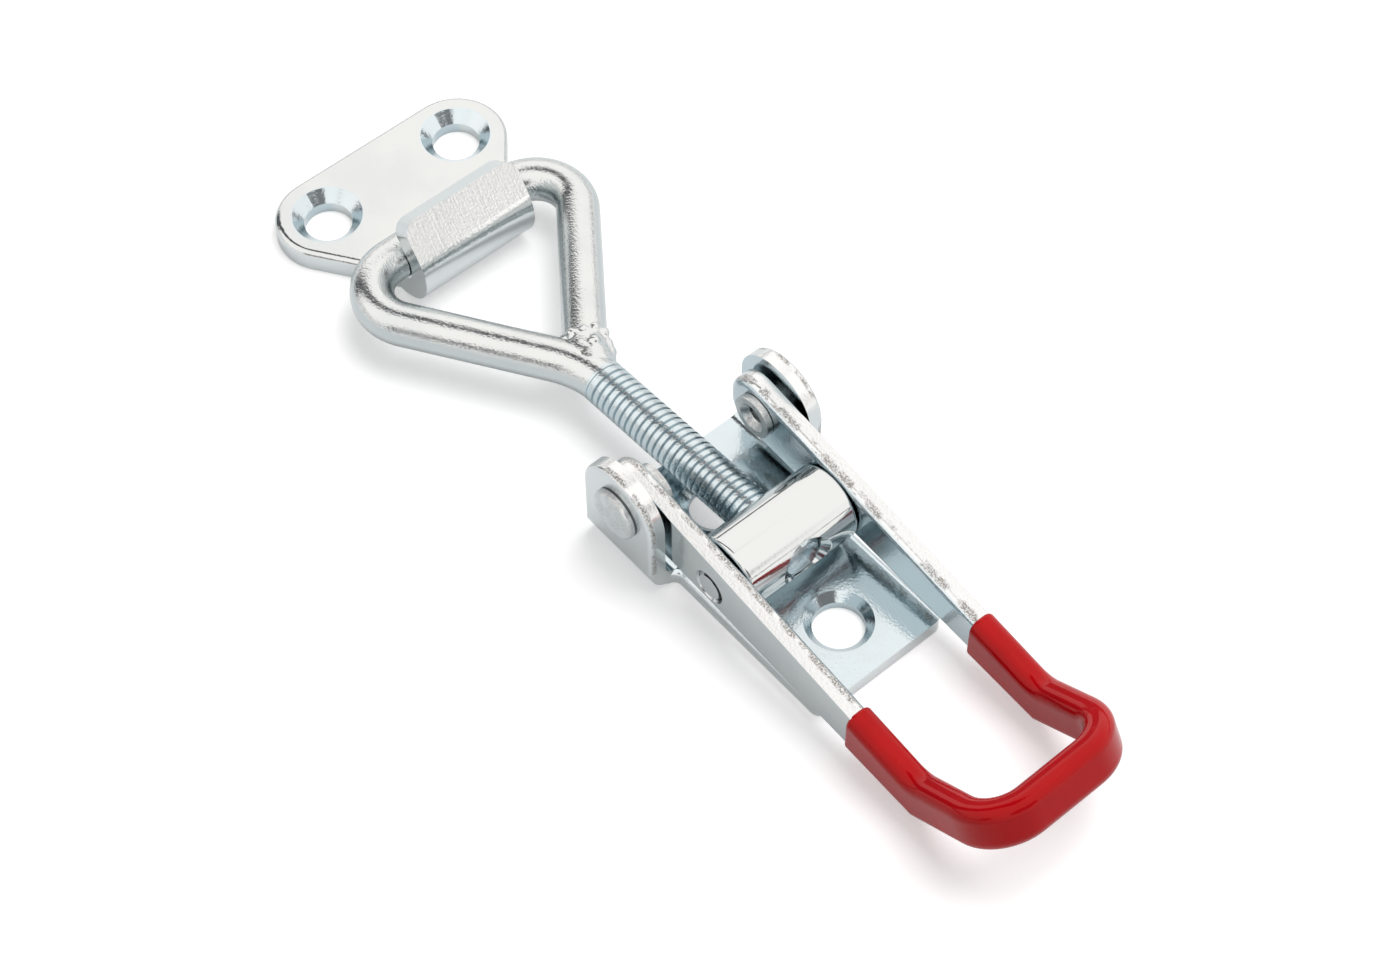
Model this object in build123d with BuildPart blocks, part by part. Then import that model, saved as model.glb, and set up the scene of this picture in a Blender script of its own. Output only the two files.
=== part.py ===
"""Adjustable over-centre toggle latch with a screwed draw bail and a hooked catch plate.

Millimetres, +Z up.  The origin is on the underside of the base plate, midway between
its two screw holes on the latch's centre line.  +X runs to the lever's grip, the catch
plate lies at -X, and the lever is modelled closed with the bail drawn home.
"""
import os
from math import cos, radians, sin, tan

from build123d import *

os.makedirs("parts", exist_ok=True)

# ---------------------------------------------------------------- driving dimensions
# sheet-metal base: a flat foot with two upright ears
base_sheet = 2.15  # thickness of the base and its ears
base_front = -19.35  # front edge, flush with the front of the ears
base_rear = 18.7  # rear edge of the foot
foot_width = 19.8  # width of the foot behind the ears
foot_corner = 1.5  # plan radius of the foot's rear corners
foot_edge = 1.1  # rolled-over upper edges along the foot's sides
ear_gap = 0.52  # between an ear and the lever's arm
ear_bend = 3.84  # outside radius of the bend at an ear's foot
ear_rear = -6.95  # rear edge of an ear
ear_top = 16.95  # height of the ears
ear_round = 5.9  # radius of an ear's rounded top
ear_edge = 0.6  # rolled-over outer edge of an ear
ear_relief = 1.2  # radius where an ear's rear edge runs into the foot
base_hole_spacing = 22.2  # spacing of the two countersunk holes along the centre line
base_hole = 6.4  # hole diameter
base_sink = 8.5  # countersink diameter at the top face

# pivot and rivets
pivot_x = -13.0
pivot_z = 10.9
rivet_shank = 4.0  # shank diameter
rivet_head = 6.8
rivet_head_height = 1.0
rivet_head_edge = 0.5
rivet_roll = 5.8  # outside diameter of the rolled end
rivet_roll_height = 0.9
rivet_roll_round = 0.35
rivet_bore = 2.5  # hollow in the rolled end, with a flared mouth
rivet_bore_depth = 3.4
rivet_mouth = 4.0
rivet_mouth_depth = 0.8

# lever: one strip bent to a U, its grip end kicked upwards
strip = 2.5  # thickness of the strip
lever_width = 21.6  # over the outer faces of the arms
arm_front = -18.1  # front end of the arms
arm_front_round = 4.0
arm_height = 9.0  # height of an arm at the pivot
arm_rise = 0.65  # how far the pivot stands above the arm's middle
kick_x = 34.9  # where the arms turn upwards
kick_z = 4.72  # height of the arm's middle there
kick_angle = 30.0
kick_round = 4.0  # radius inside that bend
grip_height = 5.0  # height of the strip in the grip
kick_length = 13.5  # from the kick to the middle of the cross strip
lever_corner = 6.4  # outside radius of the U's corners
strip_edge = 0.2  # dulled outer edges of the strip
strip_roll = 0.9  # rolled-over inner edges of the arms

# dip-moulded grip
coat = 0.6  # thickness of the coating on the strip's faces
coat_over = 0.3  # thickness over the strip's upper edge
coat_under = 0.6  # thickness under its lower edge
coat_start = 24.3  # front end of the coating on the arms
coat_edge = 1.5  # rounding of its long edges
coat_lip = 0.4  # rounding of its front ends

# cross bolt between the arms
bolt_x = 0.25
bolt_z = 7.65
bolt_body = 10.1  # diameter between the arms
bolt_edge = 0.5
bolt_journal = 4.0  # diameter of the journals in the arms
journal_sink = 0.3  # bevel round a journal's end and round its hole in the arm
bolt_flare = 7.4  # diameter of the flared mouths of the cross bore
bolt_flare_depth = 1.0

# draw bail: one bent and welded rod
rod = 5.6  # wire diameter of the legs and crossbar
thread = 5.9  # diameter over the threaded shank
thread_run = 31.5  # from the bolt's axis to the inner end of the thread
shank_yaw = 1.5  # the shank's angle off the centre line, as the bail is bent
shank_end = 4.2  # how far the shank runs past the bolt's axis
shank_bevel = 0.6
crossbar_x = -63.35
crotch_run = 34.4  # from the bolt's axis to where both legs meet the shank
left_corner_round = 5.9  # centre-line bend radii of the rod
right_corner_round = 5.6
crotch_round = 15.0
left_leg_out = 19.5  # where each leg's line meets the crossbar's, from the centre line
right_leg_out = 21.2
right_leg_gap = 1.4  # the right leg's end stops this far short of the crotch point
bead_radius = 1.5  # overlapping weld beads round the right leg's end
bead_ring = 1.7  # radius of the ring they sit on
bead_count = 6

# catch plate with its rolled hook
catch_sheet = 3.0
catch_hole_spacing = 20.85  # spacing of its two countersunk holes across the plate
catch_hole_x = -76.9
catch_hole = 6.2
catch_sink = 9.1
catch_lobe = 6.8  # radius of the plate about each hole
catch_edge = 0.9  # rolled-over upper edge of the plate
tongue_width = 17.4
tongue_shift = -0.5  # of the tongue from the middle of the two holes
hook_wrap = 124.0  # how far the sheet is rolled round the crossbar
hook_lip = 5.4  # straight lip beyond the roll
hook_corner = 2.0  # rounded corners of the lip
catch_offset = 1.5  # where the catch sits along the crossbar

# fits
rivet_clearance = 0.05  # radial, rivet shank in the arm
journal_clearance = 0.05  # radial, bolt journal in the arm
bore_clearance = 0.05  # radial, shank in the bolt's cross bore
hook_clearance = 0.23  # radial, crossbar in the hook
roll_clearance = 0.08  # rolled rivet end to the arm's inner face
bolt_side_clearance = 0.15  # bolt body to the arm's inner face

# ---------------------------------------------------------------- derived places
arm_outer = lever_width / 2
arm_inner = arm_outer - strip
ear_inner = arm_outer + ear_gap
ear_outer = ear_inner + base_sheet
crossbar_z = catch_sheet + hook_clearance + rod / 2
hook_inner = rod / 2 + hook_clearance
reach = 200.0  # longer than the whole latch, for cuts that run right through

pivot_plane = Plane(origin=(pivot_x, 0, pivot_z), x_dir=(1, 0, 0), z_dir=(0, -1, 0))

# the bail lies in a plane through the bolt's axis and the crossbar's
bail_run = ((bolt_x - crossbar_x) ** 2 + (bolt_z - crossbar_z) ** 2) ** 0.5
bail_along = ((bolt_x - crossbar_x) / bail_run, 0, (bolt_z - crossbar_z) / bail_run)
bail_plane = Plane(
    origin=(bolt_x, 0, bolt_z),
    x_dir=bail_along,
    z_dir=(-bail_along[2], 0, bail_along[0]),
)
shank_plane = bail_plane.rotated((0, 0, shank_yaw))

# the grip end of the lever lies in a plane tipped up by the kick
kick_plane = Plane(
    origin=(kick_x, 0, kick_z),
    x_dir=(cos(radians(kick_angle)), 0, sin(radians(kick_angle))),
    z_dir=(-sin(radians(kick_angle)), 0, cos(radians(kick_angle))),
)


def arm_outline(over, under, front):
    """Side view of the lever's strip from x = front, grown upwards and downwards."""
    arm_run = kick_x - pivot_x
    middle_slope = (kick_z - (pivot_z - arm_rise)) / arm_run
    half_slope = (grip_height - arm_height) / 2 / arm_run
    along = (cos(radians(kick_angle)), sin(radians(kick_angle)))
    far = kick_length + arm_outer
    edges = []
    for side, grow in ((1, over), (-1, under)):
        half = grip_height / 2 + grow
        at_front = (
            pivot_z - arm_rise + middle_slope * (front - pivot_x)
            + side * (arm_height / 2 + half_slope * (front - pivot_x) + grow)
        )
        # edge of the kicked end, carried back to meet the edge of the arm
        end = (
            kick_x + far * along[0] - side * half * along[1],
            kick_z + far * along[1] + side * half * along[0],
        )
        arm_slope = middle_slope + side * half_slope
        bend = (
            end[1] - at_front - (end[0] - front) * tan(radians(kick_angle))
        ) / (arm_slope - tan(radians(kick_angle)))
        edges.append(((front, at_front), (front + bend, at_front + arm_slope * bend), end))
    upper, lower = edges
    return (*upper, *reversed(lower))


def u_wall(grow):
    """Plan of the lever's U in the kicked plane, with a wall thicker by grow each side."""
    outer_end = kick_length + strip / 2 + grow
    inner_end = kick_length - strip / 2 - grow
    legs = reach / 2
    with Locations((outer_end - legs / 2, 0)):
        Rectangle(legs, 2 * (arm_outer + grow))
    with Locations((inner_end - legs / 2 - grow, 0)):
        Rectangle(legs + 2 * grow, 2 * (arm_inner - grow), mode=Mode.SUBTRACT)


# ---------------------------------------------------------------- base plate
# the foot behind the ears, flared where it runs into them, with its side edges rolled over
with BuildPart() as foot_blank:
    with BuildSketch(Plane.XY):
        with Locations(((base_rear + ear_rear) / 2, 0)):
            Rectangle(base_rear - ear_rear, foot_width)
        for side in (-1, 1):
            with Locations((ear_rear + ear_relief / 2, side * (foot_width + ear_relief) / 2)):
                Rectangle(ear_relief, ear_relief)
            with Locations((ear_rear + ear_relief, side * (foot_width / 2 + ear_relief))):
                Circle(ear_relief, mode=Mode.SUBTRACT)
    extrude(amount=base_sheet)
    foot_sides = foot_blank.edges().group_by(Axis.Z)[-1].filter_by_position(
        Axis.X, ear_rear, base_rear, inclusive=(False, False)
    )
    fillet(foot_sides, foot_edge)
    # rear corners, rounded in plan
    with BuildSketch(Plane.XY):
        for side in (-1, 1):
            with Locations((base_rear - foot_corner / 2, side * (foot_width - foot_corner) / 2)):
                Rectangle(foot_corner, foot_corner)
            with Locations((base_rear - foot_corner, side * (foot_width / 2 - foot_corner))):
                Circle(foot_corner, mode=Mode.SUBTRACT)
    extrude(amount=base_sheet, mode=Mode.SUBTRACT)

with BuildPart() as base_plate:
    # side outline of the ears, with their outer edges rolled over
    with BuildSketch(Plane.XZ) as ear_side:
        with Locations(((base_front + ear_rear) / 2, ear_top / 2)):
            Rectangle(ear_rear - base_front, ear_top)
        fillet(ear_side.vertices().group_by(Axis.Y)[-1], ear_round)
    extrude(amount=ear_outer, both=True)
    for outer_face in (
        base_plate.faces().sort_by(Axis.Y)[0],
        base_plate.faces().sort_by(Axis.Y)[-1],
    ):
        outline = outer_face.edges().filter_by_position(
            Axis.Z, 0, ear_top, inclusive=(False, True)
        )
        fillet(outline, ear_edge)
    # folded channel across the ears
    with BuildSketch(Plane.YZ.offset(base_front)) as channel:
        with Locations((0, ear_top / 2)):
            Rectangle(2 * ear_outer, ear_top)
        fillet(channel.vertices().group_by(Axis.Y)[0], ear_bend)
        with Locations((0, base_sheet + ear_top / 2)):
            Rectangle(2 * ear_inner, ear_top, mode=Mode.SUBTRACT)
        fillet(channel.vertices().group_by(Axis.Y)[1], ear_bend - base_sheet)
    extrude(amount=ear_rear - base_front, mode=Mode.INTERSECT)
    add(foot_blank.part)
    # countersunk holes on the centre line
    with Locations((-base_hole_spacing / 2, 0, base_sheet), (base_hole_spacing / 2, 0, base_sheet)):
        CounterSinkHole(base_hole / 2, base_sink / 2, counter_sink_angle=90)
    # rivet holes through the ears
    with Locations(pivot_plane):
        Hole(rivet_shank / 2)
base_plate.part.label = "base_plate"

# ---------------------------------------------------------------- lever
with BuildPart() as lever:
    with BuildSketch(Plane.XZ) as arm_side:
        with BuildLine():
            Polyline(*arm_outline(0, 0, arm_front), close=True)
        make_face()
        fillet(arm_side.vertices().group_by(Axis.X)[0], arm_front_round)
        kick_points = arm_side.vertices().filter_by_position(
            Axis.X, kick_x - grip_height, kick_x + grip_height
        )
        fillet(kick_points.sort_by(Axis.Y)[-1], kick_round)
        fillet(kick_points.sort_by(Axis.Y)[0], kick_round + grip_height)
    extrude(amount=reach / 2, both=True)
    with BuildSketch(kick_plane) as lever_plan:
        u_wall(0)
        fillet(lever_plan.vertices().group_by(Axis.X)[-2], lever_corner - strip)
        fillet(lever_plan.vertices().group_by(Axis.X)[-1], lever_corner)
    extrude(amount=reach / 2, both=True, mode=Mode.INTERSECT)
    side_faces = lever.faces().filter_by(Axis.Y).sort_by(lambda face: abs(face.center().Y))
    for face, edge_round in ((side_faces[0:2], strip_roll), (side_faces[2:4], strip_edge)):
        fillet(face.edges(), edge_round)
    with Locations(pivot_plane):
        Hole(rivet_shank / 2 + rivet_clearance)
    for side in (-1, 1):
        with Locations(Plane((bolt_x, side * arm_outer, bolt_z), z_dir=(0, side, 0))):
            CounterSinkHole(
                bolt_journal / 2 + journal_clearance, bolt_journal / 2 + journal_sink,
                counter_sink_angle=90,
            )
lever.part.label = "lever"

# ---------------------------------------------------------------- grip coating
with BuildPart() as grip_coating:
    with BuildSketch(Plane.XZ) as coat_side:
        with BuildLine():
            Polyline(*arm_outline(coat_over, coat_under, coat_start), close=True)
        make_face()
        kick_points = coat_side.vertices().filter_by_position(
            Axis.X, kick_x - grip_height, kick_x + grip_height
        )
        fillet(kick_points.sort_by(Axis.Y)[-1], kick_round - coat_over)
        fillet(kick_points.sort_by(Axis.Y)[0], kick_round + grip_height + coat_under)
    extrude(amount=reach / 2, both=True)
    with BuildSketch(kick_plane) as coat_plan:
        u_wall(coat)
        fillet(coat_plan.vertices().group_by(Axis.X)[-2], lever_corner - strip - coat)
        fillet(coat_plan.vertices().group_by(Axis.X)[-1], lever_corner + coat)
    extrude(amount=reach / 2, both=True, mode=Mode.INTERSECT)
    side_edges = grip_coating.faces().filter_by(Axis.Y).edges()
    fillet([edge for edge in side_edges if edge.center().X > coat_start + coat], coat_edge)
    fillet(grip_coating.faces().filter_by(Axis.X).group_by(Axis.X)[0].edges(), coat_lip)
    add(lever.part, mode=Mode.SUBTRACT)
grip_coating.part.label = "grip_coating"

# ---------------------------------------------------------------- cross bolt
body_half = arm_inner - bolt_side_clearance
bore = thread + 2 * bore_clearance
with BuildPart() as cross_bolt:
    with BuildSketch(Plane.XY.offset(bolt_z)) as bolt_half:
        with BuildLine():
            Polyline(
                (bolt_x, -arm_outer),
                (bolt_x + bolt_journal / 2, -arm_outer),
                (bolt_x + bolt_journal / 2, -body_half),
                (bolt_x + bolt_body / 2, -body_half),
                (bolt_x + bolt_body / 2, body_half),
                (bolt_x + bolt_journal / 2, body_half),
                (bolt_x + bolt_journal / 2, arm_outer),
                (bolt_x, arm_outer),
                close=True,
            )
        make_face()
        fillet(bolt_half.vertices().group_by(Axis.X)[-1], bolt_edge)
        journal_ends = bolt_half.vertices().group_by(Axis.X)[1]
        chamfer(journal_ends.sort_by(Axis.Y)[0], journal_sink)
        chamfer(journal_ends.sort_by(Axis.Y)[-1], journal_sink)
    revolve(axis=Axis((bolt_x, 0, bolt_z), (0, 1, 0)))
    # cross bore for the bail's shank, flared at both mouths
    with BuildSketch(shank_plane) as bore_half:
        with BuildLine():
            Polyline(
                (-bolt_body, 0),
                (-bolt_body, bolt_flare / 2 + bolt_body / 2),
                (-bolt_body / 2, bolt_flare / 2),
                (-bolt_body / 2 + bolt_flare_depth, bore / 2),
                (bolt_body / 2 - bolt_flare_depth, bore / 2),
                (bolt_body / 2, bolt_flare / 2),
                (bolt_body, bolt_flare / 2 + bolt_body / 2),
                (bolt_body, 0),
                close=True,
            )
        make_face()
    revolve(axis=Axis(shank_plane.origin, shank_plane.x_dir), mode=Mode.SUBTRACT)
cross_bolt.part.label = "cross_bolt"

# ---------------------------------------------------------------- pivot rivets
rivets = []
for side, where in ((-1, "left"), (1, "right")):
    with BuildPart() as pivot_rivet:
        # half section, from the hollow end (negative) out to the head
        inner_face = arm_inner - roll_clearance
        with BuildSketch(Plane((pivot_x, 0, pivot_z))) as rivet_half:
            with BuildLine():
                Polyline(
                    (0, ear_outer + rivet_head_height),
                    (rivet_head / 2, ear_outer + rivet_head_height),
                    (rivet_head / 2, ear_outer),
                    (rivet_shank / 2, ear_outer),
                    (rivet_shank / 2, inner_face),
                    (rivet_roll / 2, inner_face),
                    (rivet_roll / 2, inner_face - rivet_roll_height),
                    (rivet_mouth / 2, inner_face - rivet_roll_height),
                    (rivet_bore / 2, inner_face - rivet_roll_height + rivet_mouth_depth),
                    (rivet_bore / 2, inner_face - rivet_roll_height + rivet_bore_depth),
                    (0, inner_face - rivet_roll_height + rivet_bore_depth),
                    close=True,
                )
            make_face()
            corners = rivet_half.vertices()
            fillet(corners.filter_by_position(
                Axis.Y, ear_outer + rivet_head_height / 2, reach
            ).sort_by(Axis.X)[-1], rivet_head_edge)
            fillet(corners.group_by(Axis.Y)[0], rivet_roll_round)
        revolve(axis=Axis((pivot_x, 0, pivot_z), (0, 1, 0)))
        if side < 0:
            mirror(about=Plane.XZ, mode=Mode.REPLACE)
    pivot_rivet.part.label = f"pivot_rivet_{where}"
    rivets.append(pivot_rivet)

# ---------------------------------------------------------------- draw bail
# centre line of the rod, in the bail's plane, measured from the bolt's axis
shank_dir = (cos(radians(shank_yaw)), sin(radians(shank_yaw)))
crotch = (-crotch_run * shank_dir[0], -crotch_run * shank_dir[1])
thread_end = (-(thread_run - rod) * shank_dir[0], -(thread_run - rod) * shank_dir[1])
left_corner = (-bail_run, -left_leg_out)
right_corner = (-bail_run, right_leg_out)
right_leg = (Vector(*right_corner) - Vector(*crotch)).normalized()
leg_end = (crotch[0] + right_leg_gap * right_leg.X, crotch[1] + right_leg_gap * right_leg.Y)
bar_middle = (-bail_run, 0)
with BuildPart() as draw_bail:
    # threaded part of the shank
    shank_tip = shank_plane.from_local_coords((shank_end, 0, 0))
    with BuildSketch(Plane(origin=shank_tip, z_dir=-shank_plane.x_dir)):
        Circle(thread / 2)
    extrude(amount=thread_run + shank_end)
    chamfer(draw_bail.edges().group_by(Axis.X)[-1], shank_bevel)
    # plain end of the shank, left leg and half the crossbar
    with BuildLine(bail_plane) as left_wire:
        FilletPolyline(
            thread_end, crotch, left_corner, bar_middle,
            radius=[crotch_round, left_corner_round],
        )
    with BuildSketch(Plane(origin=left_wire.line @ 0, z_dir=left_wire.line % 0)):
        Circle(rod / 2)
    sweep(path=left_wire.line)
    # the other half of the crossbar and the right leg, welded to the shank
    with BuildLine(bail_plane) as right_wire:
        FilletPolyline(
            bar_middle, right_corner, leg_end, radius=right_corner_round,
        )
    with BuildSketch(Plane(origin=right_wire.line @ 0, z_dir=right_wire.line % 0)):
        Circle(rod / 2)
    sweep(path=right_wire.line)
    # weld: overlapping beads round the right leg's end
    with Locations(Plane(origin=right_wire.line @ 1, z_dir=right_wire.line % 1)):
        with PolarLocations(bead_ring, bead_count):
            Sphere(bead_radius)
draw_bail.part.label = "draw_bail"

# ---------------------------------------------------------------- catch plate
with BuildPart() as catch_plate:
    with BuildSketch(Plane.XY) as catch_plan:
        with Locations((catch_hole_x, catch_offset)):
            with Locations((0, -catch_hole_spacing / 2), (0, catch_hole_spacing / 2)):
                Circle(catch_lobe)
        with Locations((crossbar_x - catch_sheet / 2, catch_offset + tongue_shift)):
            Rectangle(catch_sheet, tongue_width)
        make_hull()
    extrude(amount=catch_sheet)
    fillet(catch_plate.edges().group_by(Axis.Z)[-1].sort_by(Axis.X)[:-1], catch_edge)
    # rolled hook round the crossbar, ending in a straight lip
    hook_plane = Plane(
        origin=(crossbar_x, catch_offset + tongue_shift - tongue_width / 2, crossbar_z),
        x_dir=(1, 0, 0), z_dir=(0, -1, 0),
    )
    with BuildSketch(hook_plane) as hook:
        with BuildLine():
            outside = CenterArc((0, 0), hook_inner + catch_sheet, -90, hook_wrap)
            outer_lip = Line(outside @ 1, outside @ 1 + hook_lip * (outside % 1))
            tip = outer_lip @ 1
            to_middle = Vector(-(outside % 1).Y, (outside % 1).X) * catch_sheet
            Line(tip, tip + to_middle)
            inside = CenterArc((0, 0), hook_inner, -90, hook_wrap)
            Line(inside @ 1, tip + to_middle)
            Line(inside @ 0, outside @ 0)
        make_face()
    extrude(amount=-tongue_width)
    hook_tip = catch_plate.faces().sort_by(Axis.Z)[-1]
    fillet(hook_tip.edges().filter_by(Axis.Y, reverse=True), hook_corner)
    # countersunk holes
    with Locations((catch_hole_x, catch_offset, catch_sheet)):
        with Locations((0, -catch_hole_spacing / 2), (0, catch_hole_spacing / 2)):
            CounterSinkHole(catch_hole / 2, catch_sink / 2, counter_sink_angle=90)
catch_plate.part.label = "catch_plate"

for piece in (base_plate, lever, grip_coating, cross_bolt, draw_bail, catch_plate, *rivets):
    export_step(piece.part, f"parts/{piece.part.label}.step")
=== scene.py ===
"""Looks of an over-centre toggle latch: bright zinc sheet, wire and turned parts with a
red dip-moulded grip, on a white table."""
import math

import bmesh
import bpy
from mathutils import Matrix, Vector, noise


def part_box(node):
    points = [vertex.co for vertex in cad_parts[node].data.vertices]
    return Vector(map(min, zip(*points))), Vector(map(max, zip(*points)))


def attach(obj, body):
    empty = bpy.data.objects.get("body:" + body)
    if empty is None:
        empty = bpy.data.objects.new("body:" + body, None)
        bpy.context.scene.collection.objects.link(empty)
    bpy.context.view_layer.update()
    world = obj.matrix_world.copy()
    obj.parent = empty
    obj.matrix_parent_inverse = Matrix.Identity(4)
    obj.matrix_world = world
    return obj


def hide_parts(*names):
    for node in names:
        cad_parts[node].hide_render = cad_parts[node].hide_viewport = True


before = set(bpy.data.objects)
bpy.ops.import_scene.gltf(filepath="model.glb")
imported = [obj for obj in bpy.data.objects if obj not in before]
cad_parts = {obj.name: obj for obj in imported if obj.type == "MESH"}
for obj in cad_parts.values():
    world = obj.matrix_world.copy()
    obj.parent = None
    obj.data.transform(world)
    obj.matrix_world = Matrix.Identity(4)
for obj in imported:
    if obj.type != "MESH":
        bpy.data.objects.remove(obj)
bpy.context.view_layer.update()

bl_info = {
    "name": "Toggle latch",
    "version": (1, 0, 0),
    "blender": (4, 5, 0),
    "location": "3D View > Sidebar > Latch",
    "description": "Builds the draw bail and dresses the pieces of a toggle latch",
    "category": "Object",
}

MM = 0.001
WHITE = (1, 1, 1, 1)


def middle_of(node):
    low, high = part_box(node)
    return (low + high) / 2


BOLT = middle_of("cross_bolt")

# where the masks of the plating, its painted shade and painted teal reflection begin and end:
# heights, distances from the centre line and places along the latch
FOOT_TOP = (3.8 * MM, 4.2 * MM)
EAR_INSIDE = (10.3 * MM, 10.6 * MM)
EAR_TORN = (12.5 * MM, 12.8 * MM)
EAR_OUTSIDE = (12.9 * MM, 13.1 * MM)
FOOT_HOLES_SIDE = (6.0 * MM, 7.0 * MM)
FOOT_HOLES_END = (16.5 * MM, 17.0 * MM)
HOOK_START = (-67.0 * MM, -66.0 * MM)
CATCH_HOLE_X = -76.9 * MM
CATCH_HOLE_OUT = 10.43 * MM
CATCH_RIM_FROM_HOLE = (4.8 * MM, 5.2 * MM)
# the next two bound bluer plating with painted teal reflection: countersinks and arms' insides
CATCH_CONE_EDGE = (4.6 * MM, 4.8 * MM)
ARM_INSIDE = (9.0 * MM, 9.6 * MM)
ARM_TORN_FROM = (8.4 * MM, 8.7 * MM)
ARM_TORN_TO = (9.3 * MM, 9.7 * MM)
# the rest bound painted shade: round the journals' ends and under the rivet heads
JOURNAL_HEAD = (2.30 * MM, 2.40 * MM)
JOURNAL_SHADE_RIM = (1.66 * MM, 1.74 * MM)
BOLT_ENDS = (10.4 * MM, 10.5 * MM)
RIVET_SHADE_FROM = (-0.02 * MM, 0.02 * MM)
RIVET_SHADE_TO = (0.14 * MM, 0.20 * MM)

# the weld's lumps: back along the leg, out from it, height and radius, in mm
WELD_LUMPS = (
    (3.0, 0.0, 0.0, 2.95), (2.0, 0.1, 0.0, 3.02), (1.0, 0.3, 0.0, 3.05), (0.0, 0.6, 0.0, 2.95),
    (4.0, 2.4, 1.5, 0.75), (4.3, 1.3, 2.4, 0.65), (4.0, -0.1, 2.75, 0.5),
    (3.6, -1.6, 2.3, 0.7), (3.4, -2.5, 1.3, 0.75), (2.9, -3.0, 0.2, 0.7),
    (2.7, 2.8, 0.9, 0.75), (1.6, 3.0, 0.5, 0.9), (0.5, 3.0, 0.3, 0.8), (1.9, 1.2, 2.8, 0.7))

# dark places in the air: direction, and its dot products where one is full and where it ends
DARK_SPOTS = (
    ((0.87, 0.13, 0.475), 0.985, 0.960), ((0.20, -0.905, 0.37), 0.991, 0.974),
    ((0.80, -0.22, 0.55), 0.975, 0.955))
DARK_GAP_ACROSS = (0.316, -0.929, 0.195)
DARK_AIR = (0.04, 0.04, 0.045, 1)
BOX_COLOURS = ((0.0, (0.95, 0.885, 0.855, 1)), (0.6, (1.0, 0.925, 0.89, 1)))
BOX_STRENGTH = 1.7
AIR_STRENGTH = 0.42

# how far a face leans before it counts as an edge
LEAN = (0.35, 0.85)
# near-black painted shade, for the gaps round the journals and the crease under the rivet heads
PAINTED_SHADE_COLOUR = (0.02, 0.022, 0.025)

WIRE_SIDES = 40
BEND_STEP = math.radians(4)
THREAD_STEPS = 36
SHOULDER_DROP = 0.02 * MM
WELD_VOXEL = 0.18 * MM
WELD_SMOOTHINGS = 8
SHARP_ANGLE = math.radians(50)

SENSOR = 36.0
TABLE_HALF = 0.6
TABLE_DROP = 0.05 * MM
KEY_SIZE = (0.8, 0.7)
KEY_RIGHT, KEY_AWAY, KEY_HIGH = 0.30, 0.20, 0.95


# ------------------------------------------------------------------ settings
class BailSizes(bpy.types.PropertyGroup):
    wire: bpy.props.FloatProperty(
        name="Wire", description="Diameter of the legs and crossbar",
        default=5.6 * MM, unit="LENGTH")
    thread: bpy.props.FloatProperty(
        name="Thread", description="Diameter over the thread's crests",
        default=5.9 * MM, unit="LENGTH")
    pitch: bpy.props.FloatProperty(
        name="Pitch", description="Distance from crest to crest", default=1.0 * MM, unit="LENGTH")
    thread_depth: bpy.props.FloatProperty(
        name="Thread depth", description="Crest to root", default=0.36 * MM, unit="LENGTH")
    thread_run: bpy.props.FloatProperty(
        name="Threaded run", description="From the bolt's axis to the inner end of the thread",
        default=31.5 * MM, unit="LENGTH")
    shank_end: bpy.props.FloatProperty(
        name="Shank end", description="How far the shank runs past the bolt's axis",
        default=4.2 * MM, unit="LENGTH")
    tip_bevel: bpy.props.FloatProperty(
        name="Tip bevel", description="Bevel of the shank's tip", default=0.6 * MM, unit="LENGTH")
    shank_yaw: bpy.props.FloatProperty(
        name="Shank yaw", description="The shank's angle off the centre line",
        default=math.radians(1.5), subtype="ANGLE", unit="ROTATION")
    crotch_run: bpy.props.FloatProperty(
        name="Crotch", description="From the bolt's axis to where the legs meet",
        default=34.4 * MM, unit="LENGTH")
    crotch_round: bpy.props.FloatProperty(
        name="Crotch bend", description="Centre-line radius of the bend at the crotch",
        default=15.0 * MM, unit="LENGTH")
    left_out: bpy.props.FloatProperty(
        name="Left corner", description="Left leg's meeting point with the crossbar's line",
        default=19.5 * MM, unit="LENGTH")
    left_round: bpy.props.FloatProperty(
        name="Left bend", description="Centre-line radius of the left corner",
        default=5.9 * MM, unit="LENGTH")
    right_out: bpy.props.FloatProperty(
        name="Right corner", description="Right leg's meeting point with the crossbar's line",
        default=21.2 * MM, unit="LENGTH")
    right_round: bpy.props.FloatProperty(
        name="Right bend", description="Centre-line radius of the right corner",
        default=5.6 * MM, unit="LENGTH")
    right_leg_end: bpy.props.FloatProperty(
        name="Right leg's end", description="How far the right leg stops short of the crotch",
        default=1.4 * MM, unit="LENGTH")


class Finishes(bpy.types.PropertyGroup):
    zinc: bpy.props.FloatVectorProperty(
        name="Zinc", description="Colour of the zinc plating",
        default=(0.52, 0.56, 0.567), subtype="COLOR", size=3, min=0, max=1)
    # bluer plating, and the painted teal reflection of zinc in zinc where it faces zinc
    blue_and_reflection: bpy.props.FloatVectorProperty(
        name="Blue zinc and reflection", description="Colour of the more bluish plating",
        default=(0.48, 0.565, 0.60), subtype="COLOR", size=3, min=0, max=1)
    zinc_shade: bpy.props.FloatVectorProperty(
        name="Zinc shade", description="Colour of its duller patches",
        default=(0.42, 0.48, 0.51), subtype="COLOR", size=3, min=0, max=1)
    edge: bpy.props.FloatVectorProperty(
        name="Edge", description="Colour of sheared and rolled edges",
        default=(0.62, 0.66, 0.67), subtype="COLOR", size=3, min=0, max=1)
    pit: bpy.props.FloatVectorProperty(
        name="Torn edge", description="Colour of the pits in torn edges",
        default=(0.28, 0.275, 0.255), subtype="COLOR", size=3, min=0, max=1)
    grip: bpy.props.FloatVectorProperty(
        name="Grip", description="Colour of the dipped grip",
        default=(0.47, 0.001, 0.005), subtype="COLOR", size=3, min=0, max=1)


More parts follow.
